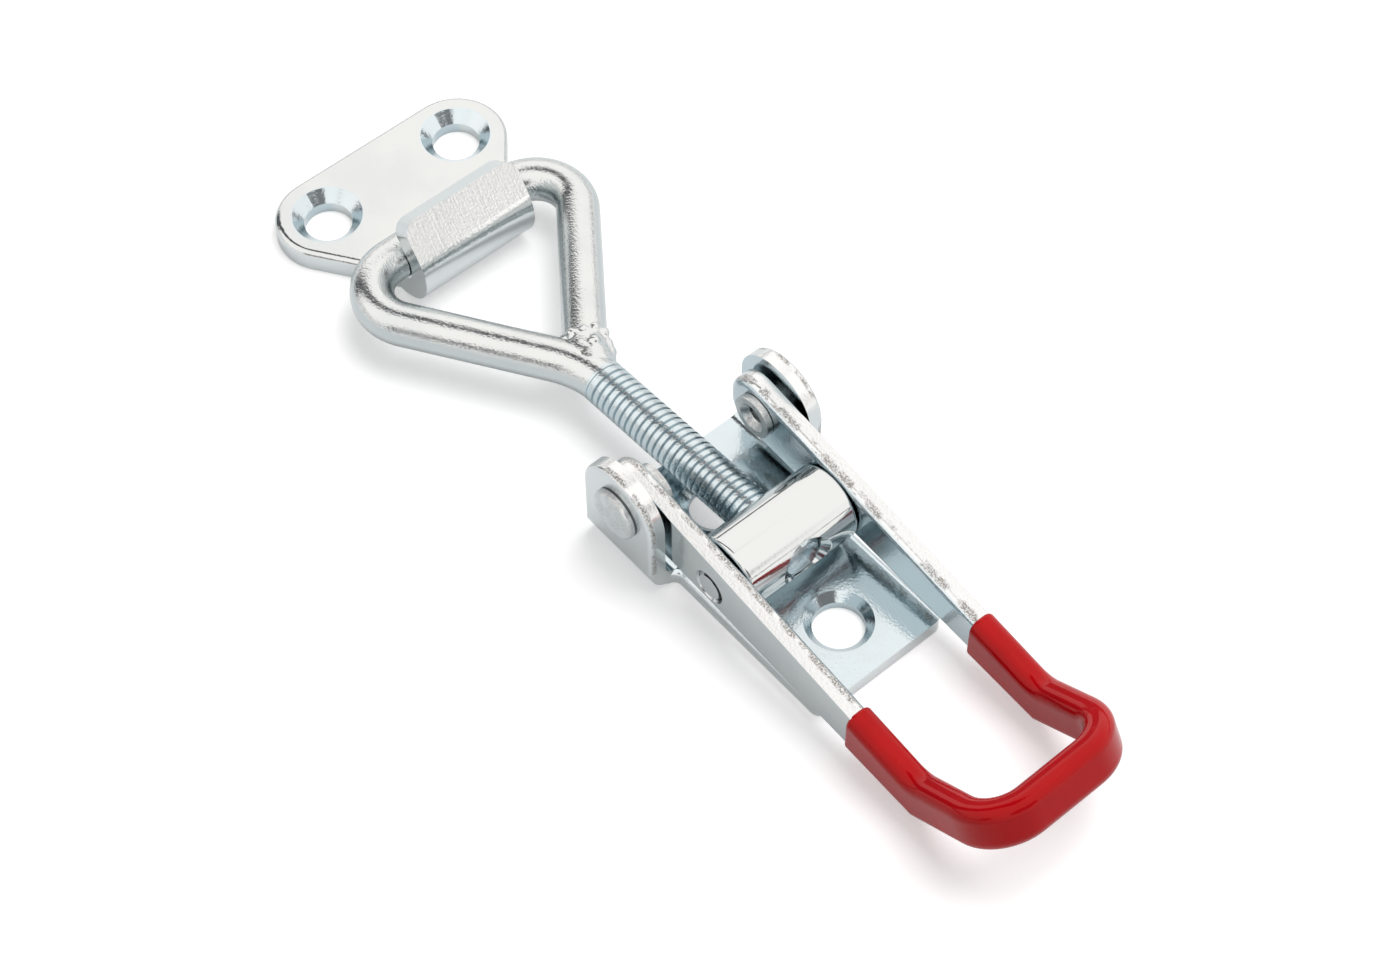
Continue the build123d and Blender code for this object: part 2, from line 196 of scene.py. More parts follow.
class Studio(bpy.types.PropertyGroup):
    lens: bpy.props.FloatProperty(
        name="Lens", description="Focal length on a 36 mm sensor", default=77.93)
    azimuth: bpy.props.FloatProperty(
        name="Azimuth", description="Where the camera stands round the latch",
        default=math.radians(49.292), subtype="ANGLE", unit="ROTATION")
    elevation: bpy.props.FloatProperty(
        name="Elevation", description="Height of the camera above the horizon",
        default=math.radians(55.390), subtype="ANGLE", unit="ROTATION")
    distance: bpy.props.FloatProperty(
        name="Distance", description="From the camera to the point it looks at",
        default=0.362853, unit="LENGTH")
    target: bpy.props.FloatVectorProperty(
        name="Target", description="The point the camera looks at",
        default=(-0.01306, -0.00071, 0.00536), subtype="XYZ", unit="LENGTH", size=3)
    key: bpy.props.FloatProperty(
        name="Key light", description="Power of the large soft light", default=9.0)


# ------------------------------------------------------------------ node helpers
def link(tree, out_node, out_name, in_node, in_name):
    tree.links.new(out_node.outputs[out_name], in_node.inputs[in_name])


def add_node(tree, kind, place, **inputs):
    node = tree.nodes.new(kind)
    node.location = place
    for name, value in inputs.items():
        node.inputs[name.replace("_", " ")].default_value = value
    return node


def set_inputs(node, values):
    for name, value in values.items():
        node.inputs[name].default_value = value


def feed(tree, value, socket):
    """Sets a socket to a number or colour, or wires an output into it."""
    if isinstance(value, bpy.types.NodeSocket):
        tree.links.new(value, socket)
    else:
        socket.default_value = value


def sum_of(tree, operation, *values, place=(0, 0), clamp=False):
    """A maths node on numbers and outputs; returns its output."""
    node = add_node(tree, "ShaderNodeMath", place)
    node.operation = operation
    node.use_clamp = clamp
    for value, socket in zip(values, node.inputs):
        feed(tree, value, socket)
    return node.outputs[0]


def ramp_of(tree, value, low, high, start=0.0, end=1.0, place=(0, 0)):
    """A smooth step from start to end while value goes from low to high."""
    node = add_node(tree, "ShaderNodeMapRange", place)
    node.interpolation_type = "SMOOTHSTEP"
    set_inputs(node, {"From Min": low, "From Max": high, "To Min": start, "To Max": end})
    feed(tree, value, node.inputs["Value"])
    return node.outputs["Result"]


def absolute(tree, value, place=(0, 0)):
    return sum_of(tree, "ABSOLUTE", value, place=place)


def mix_of(tree, mask, first, second, place):
    """Goes from the first colour to the second as the mask goes from 0 to 1."""
    node = add_node(tree, "ShaderNodeMix", place)
    node.data_type = "RGBA"
    for label, value in (("Factor", mask), ("A", first), ("B", second)):
        feed(tree, value, node.inputs[label])
    return node.outputs["Result"]


def empty_material(name):
    """A material with no nodes, and its tree."""
    material = bpy.data.materials.new(name)
    material.use_nodes = True
    material.node_tree.nodes.clear()
    return material, material.node_tree


def zinc_grain_group():
    """Zinc plating's relief, gloss and colour. Edge marks sheared and rolled edges, which are
    brighter but rougher; Torn marks where the shear has torn them; the shade input marks
    near-black painted shade in gaps and creases; Brushed marks the strokes of a brush; and the
    blue input marks bluer plating together with a painted teal reflection of zinc in zinc."""
    name = "zinc grain"
    if name in bpy.data.node_groups:
        return bpy.data.node_groups[name]
    looks = bpy.context.scene.latch_finishes
    tree = bpy.data.node_groups.new(name, "ShaderNodeTree")
    tree.interface.new_socket("Vector", in_out="INPUT", socket_type="NodeSocketVector")
    for label, default in (
            ("Edge", 0.0), ("Torn", 0.0), ("Seam", 0.0), ("Brushed", 0.0), ("Blue And Reflection", 0.0),
            ("Grain Size", 2900.0), ("Gloss", 0.24), ("Gloss Spread", 0.10)):
        socket = tree.interface.new_socket(
            label, in_out="INPUT", socket_type="NodeSocketFloat")
        socket.default_value = default
    for label, kind in (("Height", "NodeSocketFloat"), ("Roughness", "NodeSocketFloat"),
                        ("Color", "NodeSocketColor")):
        tree.interface.new_socket(label, in_out="OUTPUT", socket_type=kind)
    source = add_node(tree, "NodeGroupInput", (-1000, 0))
    result = add_node(tree, "NodeGroupOutput", (900, 0))
    edge, torn = source.outputs["Edge"], source.outputs["Torn"]
    grain = add_node(tree, "ShaderNodeTexNoise", (-700, 500), Detail=2.0)
    tree.links.new(source.outputs["Grain Size"], grain.inputs["Scale"])
    pits = add_node(tree, "ShaderNodeTexNoise", (-700, 250), Scale=5000.0, Detail=3.0)
    tears = add_node(tree, "ShaderNodeTexNoise", (-700, 0), Scale=420.0, Detail=2.0)
    patches = add_node(tree, "ShaderNodeTexNoise", (-700, -250), Scale=120.0, Detail=3.0)
    for node in (grain, pits, tears, patches):
        tree.links.new(source.outputs["Vector"], node.inputs["Vector"])
    # torn places: broken stretches of the torn band, filled with dark pits
    stretch = ramp_of(tree, tears.outputs["Fac"], 0.42, 0.52, place=(-450, 0))
    rough = sum_of(tree, "MULTIPLY", stretch, torn, place=(-250, 0))
    pit = ramp_of(tree, pits.outputs["Fac"], 0.44, 0.60, place=(-450, 250))
    pit = sum_of(tree, "MULTIPLY", pit, rough, place=(-50, 150))
    # relief
    stretched = add_node(tree, "ShaderNodeMapping", (-850, 750), Scale=(200, 3600, 200))
    tree.links.new(source.outputs["Vector"], stretched.inputs["Vector"])
    strokes = add_node(tree, "ShaderNodeTexNoise", (-700, 750), Scale=1.0, Detail=3.0)
    link(tree, stretched, 0, strokes, "Vector")
    stroke = sum_of(
        tree, "MULTIPLY", strokes.outputs["Fac"], sum_of(
            tree, "MULTIPLY", source.outputs["Brushed"], 2.1), place=(-250, 650))
    bump = sum_of(tree, "MULTIPLY_ADD", pit, -3.0, grain.outputs["Fac"], place=(150, 400))
    bump = sum_of(tree, "ADD", bump, stroke, place=(350, 500))
    tree.links.new(bump, result.inputs["Height"])
    # roughness
    uneven = sum_of(tree, "SUBTRACT", patches.outputs["Fac"], 0.5, place=(-450, -250))
    gloss = sum_of(
        tree, "MULTIPLY_ADD", uneven, source.outputs["Gloss Spread"], source.outputs["Gloss"],
        place=(-250, -250))
    gloss = sum_of(tree, "MULTIPLY_ADD", edge, 0.10, gloss, place=(-50, -250))
    gloss = sum_of(tree, "MULTIPLY_ADD", rough, 0.12, gloss, place=(150, -250))
    tree.links.new(gloss, result.inputs["Roughness"])
    # colour: bluer plating with a painted teal reflection, duller patches, warmer bright edges,
    # grey-brown pits and near-black painted shade
    patch = ramp_of(tree, patches.outputs["Fac"], 0.42, 0.70, 0.0, 0.25, place=(-450, -500))
    colour = (*looks.zinc, 1)
    for mask, second, place in (
            (source.outputs["Blue And Reflection"], looks.blue_and_reflection, (-50, -600)),
            (patch, looks.zinc_shade, (150, -600)), (edge, looks.edge, (350, -600)),
            (pit, looks.pit, (550, -600)),
            (source.outputs["Seam"], PAINTED_SHADE_COLOUR, (720, -600))):
        colour = mix_of(tree, mask, colour, (*second, 1), place)
    tree.links.new(colour, result.inputs["Color"])
    return tree


def along(tree, where, output, axis, place=(0, 0)):
    """One co-ordinate of a texture co-ordinate output."""
    split = add_node(tree, "ShaderNodeSeparateXYZ", place)
    link(tree, where, output, split, 0)
    return split.outputs[axis]


def distance_of(tree, first, second):
    """Distance from the origin of the plane of two co-ordinates."""
    return sum_of(tree, "SQRT", sum_of(
        tree, "ADD", sum_of(tree, "MULTIPLY", first, first),
        sum_of(tree, "MULTIPLY", second, second)))


def base_edges(tree, where):
    """The foot's walls, and above them the rims of the ears."""
    flat = absolute(tree, along(tree, where, "Normal", "Z"))
    side = absolute(tree, along(tree, where, "Normal", "Y"))
    out = absolute(tree, along(tree, where, "Object", "Y"))
    high = ramp_of(tree, along(tree, where, "Object", "Z"), *FOOT_TOP)
    ear = ramp_of(tree, out, *EAR_INSIDE)
    side_face = sum_of(tree, "MULTIPLY", side, ear)
    low_face = sum_of(tree, "MAXIMUM", side_face, sum_of(
        tree, "MULTIPLY", flat, sum_of(tree, "SUBTRACT", 1.0, high)))
    edge = ramp_of(tree, low_face, *LEAN, 1.0, 0.0)
    # not the walls of the screw holes
    hole = sum_of(
        tree, "MULTIPLY", ramp_of(tree, out, *FOOT_HOLES_SIDE, 1.0, 0.0),
        ramp_of(tree, along(tree, where, "Object", "X"), *FOOT_HOLES_END, 1.0, 0.0))
    edge = sum_of(tree, "SUBTRACT", edge, hole, clamp=True)
    # the ears' outer faces, a little less worn
    outer = ramp_of(tree, out, *EAR_OUTSIDE)
    worn = sum_of(tree, "MULTIPLY", 0.8, outer)
    torn = sum_of(tree, "MULTIPLY", edge, sum_of(
        tree, "MULTIPLY", high, ramp_of(tree, out, *EAR_TORN)))
    # all but the ears' outer faces: bluer plating with a painted teal reflection
    return {"Edge": sum_of(tree, "MAXIMUM", edge, worn), "Torn": torn,
            "Blue And Reflection": sum_of(tree, "SUBTRACT", 1.0, outer)}


def catch_edges(tree, where):
    """The plate's rolled rim, its countersinks with painted teal reflection, and the brushed hook.
    """
    flat = absolute(tree, along(tree, where, "Normal", "Z"))
    side = absolute(tree, along(tree, where, "Normal", "Y"))
    plate = ramp_of(tree, along(tree, where, "Object", "X"), *HOOK_START, 1.0, 0.0)
    rim = sum_of(tree, "MULTIPLY", plate, ramp_of(tree, flat, 0.35, 0.65, 1.0, 0.0))
    # not the walls of the screw holes
    aside = absolute(tree, sum_of(
        tree, "SUBTRACT", along(tree, where, "Object", "Y"), middle_of("catch_plate").y))
    hole = distance_of(
        tree, sum_of(tree, "SUBTRACT", along(tree, where, "Object", "X"), CATCH_HOLE_X),
        sum_of(tree, "SUBTRACT", aside, CATCH_HOLE_OUT))
    rim = sum_of(tree, "MULTIPLY", rim, ramp_of(tree, hole, *CATCH_RIM_FROM_HOLE))
    hook = sum_of(tree, "SUBTRACT", 1.0, plate)
    edge = sum_of(
        tree, "MAXIMUM", rim, sum_of(tree, "MAXIMUM", ramp_of(tree, side, 0.6, 0.9), hook))
    gloss = sum_of(tree, "MULTIPLY_ADD", hook, -0.11, 0.13)
    # the countersinks: bluer plating with a painted teal reflection
    blue_and_reflection = ramp_of(tree, hole, *CATCH_CONE_EDGE, 1.0, 0.0)
    return {"Edge": edge, "Brushed": hook, "Gloss": gloss, "Blue And Reflection": blue_and_reflection}


def from_bolt(tree, where):
    """How far along and above the cross bolt's centre a point lies."""
    return [sum_of(tree, "SUBTRACT", along(tree, where, "Object", axis), centre)
            for axis, centre in (("X", BOLT.x), ("Z", BOLT.z))]


def lever_edges(tree, where):
    """The long edges of the arms, torn along their inner sides, and painted shade round the
    journals.
    """
    side = absolute(tree, along(tree, where, "Normal", "Y"))
    out = absolute(tree, along(tree, where, "Object", "Y"))
    edge = ramp_of(tree, side, *LEAN, 1.0, 0.0)
    torn = sum_of(tree, "MULTIPLY", edge, sum_of(
        tree, "MULTIPLY", ramp_of(tree, out, *ARM_TORN_TO, 1.0, 0.0),
        ramp_of(tree, out, *ARM_TORN_FROM)))
    # painted shade in the gap round each journal, heaviest on its upper side and faint below
    across, up = from_bolt(tree, where)
    painted_shade = ramp_of(tree, distance_of(tree, across, up), *JOURNAL_HEAD, 1.0, 0.0)
    painted_shade = sum_of(tree, "MULTIPLY", painted_shade, ramp_of(
        tree, sum_of(tree, "ADD", across, up), -0.8 * MM, 0.6 * MM, 0.15, 1.0))
    # the arms' inner faces: bluer plating with a painted teal reflection
    blue_and_reflection = ramp_of(tree, out, *ARM_INSIDE, 1.0, 0.0)
    return {"Edge": edge, "Torn": torn, "Seam": painted_shade, "Blue And Reflection": blue_and_reflection}


def rivet_face(tree, where):
    """Worn all over, like an edge, with painted shade in the crease where the head meets the ear.
    """
    _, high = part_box("base_plate")
    above = sum_of(
        tree, "SUBTRACT", absolute(tree, along(tree, where, "Object", "Y")), high.y)
    painted_shade = sum_of(tree, "MULTIPLY", ramp_of(tree, above, *RIVET_SHADE_FROM), ramp_of(
        tree, above, *RIVET_SHADE_TO, 0.9, 0.0))
    return {"Edge": 0.6, "Torn": 0.3, "Grain Size": 1600.0, "Seam": painted_shade}


def bolt_painted_shade(tree, where):
    """Painted shade in the gaps round the journals' ends, on their upper side."""
    across, up = from_bolt(tree, where)
    rim = ramp_of(tree, distance_of(tree, across, up), *JOURNAL_SHADE_RIM)
    upper = ramp_of(tree, sum_of(tree, "ADD", across, up), 0.0, 0.8 * MM)
    out = ramp_of(tree, absolute(tree, along(tree, where, "Object", "Y")), *BOLT_ENDS)
    return {"Seam": sum_of(tree, "MULTIPLY", out, sum_of(tree, "MULTIPLY", rim, upper))}


def thread_gloss(tree, where):
    """The rolled thread, duller than the drawn wire, bluer and with a painted teal reflection."""
    start = BOLT.x - bpy.context.scene.bail_sizes.thread_run
    thread = ramp_of(
        tree, along(tree, where, "Object", "X"), start - 0.5 * MM, start + 0.5 * MM)
    return {"Grain Size": 3800.0, "Blue And Reflection": thread, "Gloss": sum_of(
        tree, "MULTIPLY_ADD", thread, 0.08, 0.13)}


def zinc_material(name, gloss, relief, spread=0.08, edges=None):
    """Bright zinc plating: gloss is its roughness, relief the depth of its grain, and edges
    writes the masks of its edges, torn places, painted shade and painted teal reflection."""
    material, tree = empty_material(name)
    out = add_node(tree, "ShaderNodeOutputMaterial", (900, 0))
    shader = add_node(tree, "ShaderNodeBsdfPrincipled", (600, 0), Metallic=1.0)
    link(tree, shader, "BSDF", out, "Surface")
    where = add_node(tree, "ShaderNodeTexCoord", (-1100, 0))
    group = add_node(tree, "ShaderNodeGroup", (100, 0))
    group.node_tree = zinc_grain_group()
    set_inputs(group, {"Gloss": gloss, "Gloss Spread": spread})
    link(tree, where, "Object", group, "Vector")
    if edges is not None:
        for label, value in edges(tree, where).items():
            feed(tree, value, group.inputs[label])
    link(tree, group, "Color", shader, "Base Color")
    link(tree, group, "Roughness", shader, "Roughness")
    bump = add_node(tree, "ShaderNodeBump", (350, -200), Strength=1.0, Distance=relief)
    link(tree, group, "Height", bump, "Height")
    link(tree, bump, "Normal", shader, "Normal")
    return material


def grip_material():
    """Glossy dip-moulded plastic with faint runs and blotches."""
    looks = bpy.context.scene.latch_finishes
    material, tree = empty_material("dipped grip")
    out = add_node(tree, "ShaderNodeOutputMaterial", (900, 0))
    shader = add_node(tree, "ShaderNodeBsdfPrincipled", (600, 0), Roughness=0.09)
    shader.inputs["Specular Tint"].default_value = (1, 0.28, 0.25, 1)
    link(tree, shader, "BSDF", out, "Surface")
    where = add_node(tree, "ShaderNodeTexCoord", (-900, 0))
    runs = add_node(tree, "ShaderNodeTexNoise", (-600, 0), Scale=180.0, Detail=3.0)
    link(tree, where, "Object", runs, "Vector")
    colour = mix_of(
        tree, runs.outputs["Fac"], (*looks.grip, 1),
        (*(value * 0.7 for value in looks.grip), 1), (200, 200))
    tree.links.new(colour, shader.inputs["Base Color"])
    bump = add_node(tree, "ShaderNodeBump", (200, -200), Strength=1.0, Distance=0.05 * MM)
    link(tree, runs, "Fac", bump, "Height")
    link(tree, bump, "Normal", shader, "Normal")
    return material


def dress(node, material):
    """Gives a carried-over CAD node its finish."""
    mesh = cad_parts[node].data
    mesh.materials.clear()
    mesh.materials.append(material)


# ------------------------------------------------------------------ bail geometry
def bail_plane():
    """The bail's plane, x from the crossbar to the bolt, and the distance between them."""
    sizes = bpy.context.scene.bail_sizes
    low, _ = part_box("draw_bail")
    bar = Vector((low.x + sizes.wire / 2, 0, low.z + sizes.wire / 2))
    forward = Vector((BOLT.x - bar.x, 0, BOLT.z - bar.z))
    run = forward.length
    forward.normalize()
    across = Vector((0, 1, 0))
    plane = Matrix((forward, across, forward.cross(across))).transposed().to_4x4()
    plane.translation = Vector((BOLT.x, 0, BOLT.z))
    return plane, run


def bail_corners():
    """The shank's direction, the crotch and both corners, in the bail's plane."""
    sizes = bpy.context.scene.bail_sizes
    _, run = bail_plane()
    shank = Vector((math.cos(sizes.shank_yaw), math.sin(sizes.shank_yaw), 0))
    crotch = -sizes.crotch_run * shank
    left = Vector((-run, -sizes.left_out, 0))
    right = Vector((-run, sizes.right_out, 0))
    return shank, crotch, left, right


def tube_ring(bm, radius, start, heading):
    """A ring of edges at start, square to heading, to be run and bent into a tube."""
    turn = heading.to_track_quat("Z", "Y").to_matrix().to_4x4()
    made = bmesh.ops.create_circle(
        bm, cap_ends=True, radius=radius, segments=WIRE_SIDES,
        matrix=Matrix.Translation(start) @ turn)
    edges = {edge for vert in made["verts"] for edge in vert.link_edges}
    return list(edges)


def run_tube(bm, ring, step):
    """Runs a ring straight by step and returns the new ring."""
    made = bmesh.ops.extrude_edge_only(bm, edges=ring)["geom"]
    bmesh.ops.translate(bm, vec=step, verts=[v for v in made if isinstance(v, bmesh.types.BMVert)])
    return [edge for edge in made if isinstance(edge, bmesh.types.BMEdge) and (
        all(vert in made for vert in edge.verts))]


def bend_tube(bm, ring, centre, angle, steps):
    """Bends a ring about a line through centre, square to the bail's plane."""
    verts = {vert for edge in ring for vert in edge.verts}
    made = bmesh.ops.spin(
        bm, geom=ring + list(verts), cent=centre, axis=(0, 0, 1), dvec=(0, 0, 0),
        angle=angle, steps=steps, space=Matrix(), use_merge=False, use_normal_flip=False,
        use_duplicate=False)["geom_last"]
    return [part for part in made if isinstance(part, bmesh.types.BMEdge)]


def bend_at(corner, before, after, radius):
    """Where a bend of that radius starts, its centre, its signed angle and where it ends."""
    incoming = (corner - before).normalized()
    outgoing = (after - corner).normalized()
    angle = math.atan2(incoming.cross(outgoing).z, incoming.dot(outgoing))
    tangent = radius * math.tan(abs(angle) / 2)
    start = corner - incoming * tangent
    side = Vector((-incoming.y, incoming.x, 0)) * math.copysign(1, angle)
    return start, start + side * radius, angle, corner + outgoing * tangent


def wire_mesh(bm):
    """The plain wire: end of the shank, left leg, crossbar and right leg."""
    sizes = bpy.context.scene.bail_sizes
    shank, crotch, left, right = bail_corners()
    leg_end = crotch + (right - crotch).normalized() * sizes.right_leg_end
    start = -(sizes.thread_run - 0.3 * MM) * shank
    points = [start, crotch, left, right, leg_end]
    rounds = [sizes.crotch_round, sizes.left_round, sizes.right_round]
    ring = tube_ring(bm, sizes.wire / 2, start, -shank)
    here = start
    for index, radius in enumerate(rounds, 1):
        first, centre, angle, last = bend_at(
            points[index], points[index - 1], points[index + 1], radius)
        ring = run_tube(bm, ring, first - here)
        steps = max(8, round(abs(angle) / BEND_STEP))
        ring = bend_tube(bm, ring, centre, angle, steps)
        here = last
    ring = run_tube(bm, ring, leg_end - here)
    bmesh.ops.contextual_create(bm, geom=ring)


def thread_mesh(bm):
    """The screwed shank, spun as a helix and cut square at both ends."""
    sizes = bpy.context.scene.bail_sizes
    crest = sizes.thread / 2
    root = crest - sizes.thread_depth
    pitch = sizes.pitch
    length = sizes.thread_run + sizes.shank_end
    turns = math.ceil(length / pitch) + 3
    tip = sizes.shank_end + pitch
    shoulder = crest - SHOULDER_DROP
    profile = (
        (0.0, root), (0.04, root), (0.21, shoulder), (0.525, crest), (0.84, shoulder), (1.0, root))
    verts = [bm.verts.new((tip - share * pitch, 0, height)) for share, height in profile]
    edges = [bm.edges.new(pair) for pair in zip(verts, verts[1:])]
    bmesh.ops.spin(
        bm, geom=verts + edges, cent=(0, 0, 0), axis=(1, 0, 0),
        dvec=(-pitch / THREAD_STEPS, 0, 0), angle=math.tau * turns,
        steps=THREAD_STEPS * turns, space=Matrix(), use_merge=False,
        use_normal_flip=False, use_duplicate=False)
    bmesh.ops.remove_doubles(bm, verts=bm.verts[:], dist=0.01 * MM)
    for place, way in ((sizes.shank_end, 1), (-sizes.thread_run, -1)):
        geom = bm.verts[:] + bm.edges[:] + bm.faces[:]
        bmesh.ops.bisect_plane(
            bm, geom=geom, dist=0.0001 * MM, plane_co=(place, 0, 0), plane_no=(way, 0, 0),
            clear_outer=True)
    # bevel of the tip
    for vert in bm.verts:
        limit = crest - sizes.tip_bevel + (sizes.shank_end - vert.co.x)
        height = math.hypot(vert.co.y, vert.co.z)
        if height > limit:
            vert.co.y *= limit / height
            vert.co.z *= limit / height
    rims = [edge for edge in bm.edges if edge.is_boundary]
    bmesh.ops.holes_fill(bm, edges=rims, sides=0)


def weld_mesh(bm):
    """Lumps of weld round the right leg's end, each a little out of round."""
    _, crotch, _, right = bail_corners()
    leg = (right - crotch).normalized()
    out = Vector((leg.y, -leg.x, 0))
    for index, (back, aside, high, size) in enumerate(WELD_LUMPS):
        place = crotch + leg * back * MM + out * aside * MM + Vector((0, 0, high * MM))
        made = bmesh.ops.create_icosphere(
            bm, subdivisions=4, radius=size * MM, matrix=Matrix.Translation(place))
        for vert in made["verts"]:
            swell = noise.noise(vert.co / (0.8 * MM) + Vector((index, 0, 0)))
            vert.co = place + (vert.co - place) * (1 + 0.05 * swell)


def fuse(bm):
    """Makes the lumps one closed skin."""
    mesh = bpy.data.meshes.new("lumps")
    bm.to_mesh(mesh)
    holder = bpy.data.objects.new("lumps", mesh)
    bpy.context.scene.collection.objects.link(holder)
    remesh = holder.modifiers.new("skin", "REMESH")
    remesh.mode = "VOXEL"
    remesh.voxel_size = WELD_VOXEL
    skin = bpy.data.meshes.new_from_object(
        holder.evaluated_get(bpy.context.evaluated_depsgraph_get()))
    bm.clear()
    bm.from_mesh(skin)
    for _ in range(WELD_SMOOTHINGS):
        bmesh.ops.smooth_vert(
            bm, verts=bm.verts[:], factor=0.5, use_axis_x=True, use_axis_y=True, use_axis_z=True)
    bpy.data.objects.remove(holder)
    bpy.data.meshes.remove(skin)
    bpy.data.meshes.remove(mesh)


# ------------------------------------------------------------------ operators
class LATCH_OT_draw_bail(bpy.types.Operator):
    """Builds the bent wire, its screwed shank and the weld that joins them"""
    bl_idname = "latch.draw_bail"
    bl_label = "Draw bail"

    def execute(self, context):
        plane, _ = bail_plane()
        turn = plane @ Matrix.Rotation(context.scene.bail_sizes.shank_yaw, 4, "Z")
        whole = bpy.data.meshes.new("draw_bail_wire")
        bm = bmesh.new()
        for make, place in ((wire_mesh, plane), (thread_mesh, turn), (weld_mesh, plane)):
            part = bmesh.new()
            make(part)
            if make is weld_mesh:
                fuse(part)
            bmesh.ops.recalc_face_normals(part, faces=part.faces[:])
            bmesh.ops.transform(part, matrix=place, verts=part.verts[:])
            scrap = bpy.data.meshes.new("scrap")
            part.to_mesh(scrap)
            part.free()
            bm.from_mesh(scrap)
            bpy.data.meshes.remove(scrap)
        for face in bm.faces:
            face.smooth = True
        bm.to_mesh(whole)
        bm.free()
        whole.set_sharp_from_angle(angle=SHARP_ANGLE)
        piece = bpy.data.objects.new("draw_bail_wire", whole)
        context.scene.collection.objects.link(piece)
        whole.materials.append(zinc_material("zinc wire", 0.13, 0.045 * MM, edges=thread_gloss))
        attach(piece, "bail")
        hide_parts("draw_bail")
        return {"FINISHED"}


class LATCH_OT_sheet_metal(bpy.types.Operator):
    """Gives the base plate, catch plate and lever their zinc plating"""
    bl_idname = "latch.sheet_metal"
    bl_label = "Base, catch and lever"

    def execute(self, context):
        for node, edges in (
                ("base_plate", base_edges), ("catch_plate", catch_edges), ("lever", lever_edges)):
            dress(node, zinc_material("zinc " + node, 0.13, 0.018 * MM, edges=edges))
        return {"FINISHED"}


class LATCH_OT_turned_metal(bpy.types.Operator):
    """Gives the cross bolt and the pivot rivets their zinc plating"""
    bl_idname = "latch.turned_metal"
    bl_label = "Bolt and rivets"

    def execute(self, context):
        dress("cross_bolt", zinc_material(
            "zinc bolt", 0.08, 0.004 * MM, spread=0.03, edges=bolt_painted_shade))
        rivet = zinc_material("zinc rivet", 0.22, 0.05 * MM, spread=0.3, edges=rivet_face)
        for node in ("pivot_rivet_left", "pivot_rivet_right"):
            dress(node, rivet)
        return {"FINISHED"}


class LATCH_OT_grip(bpy.types.Operator):
    """Gives the dipped grip its glossy plastic"""
    bl_idname = "latch.grip"
    bl_label = "Grip"

    def execute(self, context):
        dress("grip_coating", grip_material())
        return {"FINISHED"}


class LATCH_OT_stage(bpy.types.Operator):
    """Sets the white table, the soft lights and the camera"""
    bl_idname = "latch.stage"
    bl_label = "Stage"

    def execute(self, context):
        studio = context.scene.latch_studio
        scene = context.scene
        scene.view_settings.view_transform = "Standard"
        # camera
        data = bpy.data.cameras.new("camera")
        data.lens = studio.lens
        data.sensor_width = SENSOR
        camera = bpy.data.objects.new("camera", data)
        scene.collection.objects.link(camera)
        back = Vector((
            math.sin(studio.azimuth) * math.cos(studio.elevation),
            -math.cos(studio.azimuth) * math.cos(studio.elevation),
            math.sin(studio.elevation)))
        target = Vector(studio.target)
        camera.location = target + back * studio.distance
        camera.rotation_mode = "QUATERNION"
        camera.rotation_quaternion = (-back).to_track_quat("-Z", "Y")
        data.clip_start = 0.01
        scene.camera = camera
        # table
        bm = bmesh.new()
        bmesh.ops.create_grid(bm, x_segments=1, y_segments=1, size=TABLE_HALF)
        mesh = bpy.data.meshes.new("table")
        bm.to_mesh(mesh)
        bm.free()
        table = bpy.data.objects.new("table", mesh)
        table.location.z = -TABLE_DROP
        scene.collection.objects.link(table)
        mesh.materials.append(table_material())
        # large soft light, from the right and behind
        right = Vector((math.cos(studio.azimuth), math.sin(studio.azimuth), 0))
        away = Vector((-math.sin(studio.azimuth), math.cos(studio.azimuth), 0))
        light = bpy.data.lights.new("key", "AREA")
        light.shape = "RECTANGLE"
        light.size, light.size_y = KEY_SIZE
        light.energy = studio.key
        lamp = bpy.data.objects.new("key", light)
        lamp.location = right * KEY_RIGHT + away * KEY_AWAY + Vector((0, 0, KEY_HIGH))
        lamp.rotation_mode = "QUATERNION"
        lamp.rotation_quaternion = (-lamp.location).to_track_quat("-Z", "Y")
        lamp.visible_glossy = False
        scene.collection.objects.link(lamp)
        studio_world(scene)
        return {"FINISHED"}


def table_material():
    """White paint, with a little glow so that the camera sees it as white."""
    material, tree = empty_material("white table")
    out = add_node(tree, "ShaderNodeOutputMaterial", (700, 0))
    both = add_node(tree, "ShaderNodeAddShader", (500, 0))
    paint = add_node(tree, "ShaderNodeBsdfDiffuse", (200, 100))
    paint.inputs["Color"].default_value = (0.76, 0.76, 0.76, 1)
    glow = add_node(tree, "ShaderNodeEmission", (200, -100))
    glow.inputs["Color"].default_value = WHITE
    path = add_node(tree, "ShaderNodeLightPath", (-600, 0))
    seen = sum_of(
        tree, "MAXIMUM", path.outputs["Is Camera Ray"], sum_of(
            tree, "MULTIPLY", path.outputs["Is Glossy Ray"], 0.5, place=(-400, 0)),
        place=(-200, 0))
    level = sum_of(tree, "MULTIPLY", seen, 0.40, place=(0, 0))
    tree.links.new(level, glow.inputs["Strength"])
    tree.links.new(paint.outputs[0], both.inputs[0])
    tree.links.new(glow.outputs[0], both.inputs[1])
    link(tree, both, 0, out, "Surface")
    return material


def leaning(tree, where, direction, place):
    """How far the air's direction leans towards another: their dot product."""
    node = add_node(tree, "ShaderNodeVectorMath", place)
    node.operation = "DOT_PRODUCT"
    node.inputs[1].default_value = direction
    link(tree, where, "Generated", node, 0)
    return node.outputs["Value"]


